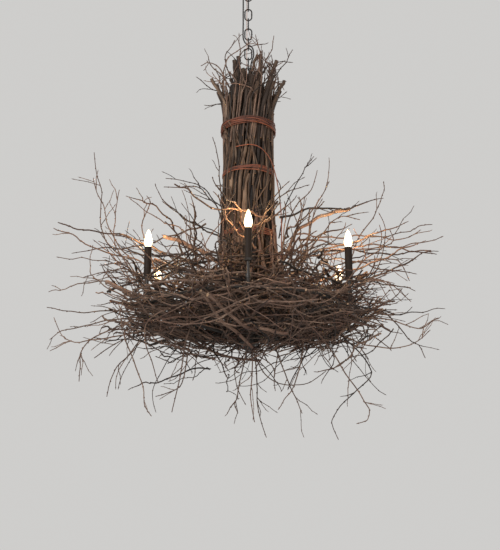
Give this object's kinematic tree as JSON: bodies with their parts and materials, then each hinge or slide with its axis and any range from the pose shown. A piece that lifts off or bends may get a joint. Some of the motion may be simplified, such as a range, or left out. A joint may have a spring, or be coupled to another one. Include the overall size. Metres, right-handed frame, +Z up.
{
  "type": "branch chandelier",
  "caption": "Candle-style chandelier: a tied sheaf of sticks over a bowl-shaped nest of tangled twigs on a hidden iron frame, hung by a chain from a round ceiling canopy.",
  "frame": {"origin": "on the ceiling plane, on the chain's line, midway between the crossbar's slots", "axes": "+Z up into the ceiling, +X along the crossbar to the right in the picture, -Y towards the viewer"},
  "size_m": [1.2295, 1.1983, 1.6418],
  "materials": {
    "bright_steel": "zinc plated",
    "ground_green": "green",
    "canopy_black": "satin, oil-rubbed black",
    "chain_iron": "satin black",
    "frame_iron": "satin black over forged steel",
    "cord_black": "matt black sleeve",
    "copper": "bare copper, dulled",
    "lead_sleeve": "woven sleeve",
    "splice_orange": "moulded",
    "socket_dark": "phenolic",
    "sleeve_brown": "dark brown, satin",
    "bulb_glass": "clear",
    "bulb_brass": "nickel-tinted brass",
    "stick_bark": "natural bark",
    "twig_bark": "natural bark",
    "withe_rust": "rust-red bark"
  },
  "bodies": {
    "ceiling": {"crossbar": "bright_steel", "crossbar_locknut": "bright_steel", "ground_screw": "ground_green", "canopy_nipple": "bright_steel", "canopy": "canopy_black", "canopy_collar": "canopy_black", "canopy_loop": "chain_iron", "supply_cord": "cord_black", "earth_wire": "copper"},
    "chain_1": {"chain_link_1": "chain_iron"},
    "chain_2": {"chain_link_2": "chain_iron"},
    "chain_3": {"chain_link_3": "chain_iron"},
    "chain_4": {"chain_link_4": "chain_iron"},
    "chain_5": {"chain_link_5": "chain_iron"},
    "chain_6": {"chain_link_6": "chain_iron"},
    "chain_7": {"chain_link_7": "chain_iron"},
    "chain_8": {"chain_link_8": "chain_iron"},
    "fixture": {"fixture_loop": "chain_iron", "stem_pipe": "frame_iron", "stem_locknut": "bright_steel", "hub": "frame_iron", "hub_cover": "frame_iron", "finial": "frame_iron", "arm_1": "frame_iron", "arm_2": "frame_iron", "arm_3": "frame_iron", "arm_4": "frame_iron", "arm_5": "frame_iron", "arm_6": "frame_iron", "outer_hoop": "frame_iron", "inner_hoop": "frame_iron", "arm_nuts": "frame_iron", "lamp_leads": "lead_sleeve", "splice_caps": "splice_orange", "candle_stems": "frame_iron", "candle_cups": "frame_iron", "lamp_sockets": "socket_dark", "candle_sleeves": "sleeve_brown", "sheaf_core": "stick_bark", "sheaf_middle": "stick_bark", "sheaf_outer": "stick_bark", "crown_twigs": "stick_bark", "tie_top": "withe_rust", "tie_middle": "withe_rust", "tie_bottom": "withe_rust", "nest_base": "twig_bark", "nest_sprays": "twig_bark", "nest_under": "twig_bark"},
    "bulb_1": {"bulb_glass_1": "bulb_glass", "bulb_base_1": "bulb_brass"},
    "bulb_2": {"bulb_glass_2": "bulb_glass", "bulb_base_2": "bulb_brass"},
    "bulb_3": {"bulb_glass_3": "bulb_glass", "bulb_base_3": "bulb_brass"},
    "bulb_4": {"bulb_glass_4": "bulb_glass", "bulb_base_4": "bulb_brass"},
    "bulb_5": {"bulb_glass_5": "bulb_glass", "bulb_base_5": "bulb_brass"},
    "bulb_6": {"bulb_glass_6": "bulb_glass", "bulb_base_6": "bulb_brass"}
  },
  "joints": [
    {"name": "chain_1_swing", "type": "hinge", "parent": "ceiling", "child": "chain_1", "pos_m": [0, 0, -0.072], "axis": [0, 1, 0], "range_deg": [-12, 12], "deforming": ["supply_cord", "earth_wire"]},
    {"name": "chain_2_swing", "type": "hinge", "parent": "chain_1", "child": "chain_2", "pos_m": [0, 0, -0.10895], "axis": [1, 0, 0], "range_deg": [-12, 12], "deforming": ["supply_cord", "earth_wire"]},
    {"name": "chain_3_swing", "type": "hinge", "parent": "chain_2", "child": "chain_3", "pos_m": [0, 0, -0.14665], "axis": [0, 1, 0], "range_deg": [-12, 12], "deforming": ["supply_cord", "earth_wire"]},
    {"name": "chain_4_swing", "type": "hinge", "parent": "chain_3", "child": "chain_4", "pos_m": [0, 0, -0.18435], "axis": [1, 0, 0], "range_deg": [-12, 12], "deforming": ["supply_cord", "earth_wire"]},
    {"name": "chain_5_swing", "type": "hinge", "parent": "chain_4", "child": "chain_5", "pos_m": [0, 0, -0.22205], "axis": [0, 1, 0], "range_deg": [-12, 12], "deforming": ["supply_cord", "earth_wire"]},
    {"name": "chain_6_swing", "type": "hinge", "parent": "chain_5", "child": "chain_6", "pos_m": [0, 0, -0.25975], "axis": [1, 0, 0], "range_deg": [-12, 12], "deforming": ["supply_cord", "earth_wire"]},
    {"name": "chain_7_swing", "type": "hinge", "parent": "chain_6", "child": "chain_7", "pos_m": [0, 0, -0.29745], "axis": [0, 1, 0], "range_deg": [-12, 12], "deforming": ["supply_cord", "earth_wire"]},
    {"name": "chain_8_swing", "type": "hinge", "parent": "chain_7", "child": "chain_8", "pos_m": [0, 0, -0.33515], "axis": [1, 0, 0], "range_deg": [-12, 12], "deforming": ["supply_cord", "earth_wire"]},
    {"name": "fixture_swing", "type": "hinge", "parent": "chain_8", "child": "fixture", "pos_m": [0, 0, -0.37285], "axis": [0, 1, 0], "range_deg": [-12, 12], "deforming": ["supply_cord", "earth_wire"]},
    {"name": "bulb_1_out", "type": "slide", "parent": "fixture", "child": "bulb_1", "axis": [0, 0, 1], "range_m": [0, 0.04]},
    {"name": "bulb_2_out", "type": "slide", "parent": "fixture", "child": "bulb_2", "axis": [0, 0, 1], "range_m": [0, 0.04]},
    {"name": "bulb_3_out", "type": "slide", "parent": "fixture", "child": "bulb_3", "axis": [0, 0, 1], "range_m": [0, 0.04]},
    {"name": "bulb_4_out", "type": "slide", "parent": "fixture", "child": "bulb_4", "axis": [0, 0, 1], "range_m": [0, 0.04]},
    {"name": "bulb_5_out", "type": "slide", "parent": "fixture", "child": "bulb_5", "axis": [0, 0, 1], "range_m": [0, 0.04]},
    {"name": "bulb_6_out", "type": "slide", "parent": "fixture", "child": "bulb_6", "axis": [0, 0, 1], "range_m": [0, 0.04]}
  ]
}
